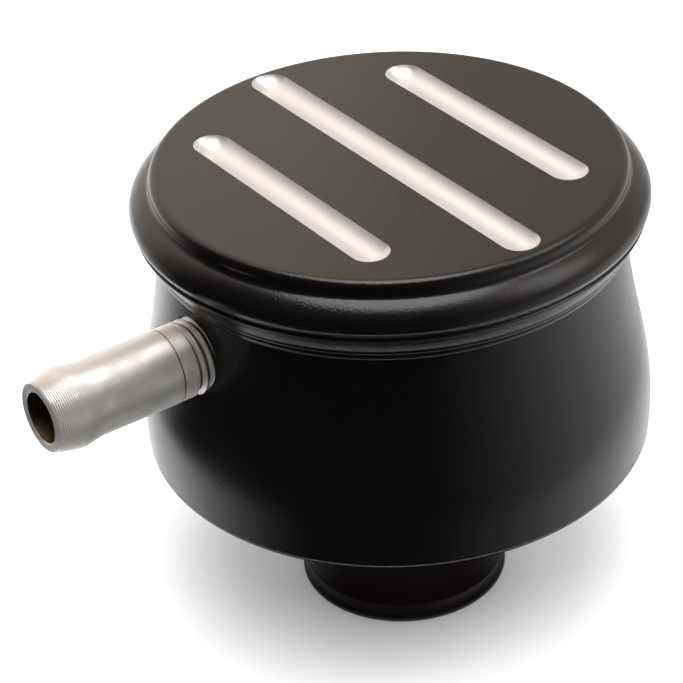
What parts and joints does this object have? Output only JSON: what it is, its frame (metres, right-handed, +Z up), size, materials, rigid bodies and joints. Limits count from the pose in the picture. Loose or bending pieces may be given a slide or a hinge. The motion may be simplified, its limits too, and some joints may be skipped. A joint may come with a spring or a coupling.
{
  "type": "valve cover breather",
  "caption": "Push-in valve cover breather: turned black bowl and cap with milled flutes, short neck below, bare hose nipple on the side and a filter stack inside.",
  "frame": {"origin": "on the neck's axis where the neck leaves the body's underside", "axes": "+Z up from the neck to the cap; -Y along the hose nipple, out of its mouth; X along the flutes"},
  "size_m": [0.0656, 0.0842, 0.0625],
  "materials": {
    "black_coat": "satin",
    "neck_coat": "satin",
    "bare_aluminium": "satin",
    "plated_steel": "satin",
    "rubber": "matte",
    "filter_foam": "matte"
  },
  "bodies": {
    "root": {"body": "black_coat", "neck": "neck_coat", "neck_gasket": "rubber", "neck_screw_1": "plated_steel", "neck_screw_2": "plated_steel", "neck_screw_3": "plated_steel", "carrier_plate": "plated_steel", "lower_spacer": "plated_steel", "splash_baffle": "plated_steel", "baffle_sleeve": "plated_steel", "filter_seat": "plated_steel", "filter_core": "plated_steel", "filter_element": "filter_foam", "filter_screen": "plated_steel", "filter_lid": "plated_steel", "cap": "black_coat", "cap_o_ring": "rubber", "hose_nipple": "bare_aluminium", "tie_screw": "plated_steel", "flat_washer": "plated_steel", "lock_washer": "plated_steel"}
  },
  "joints": []
}
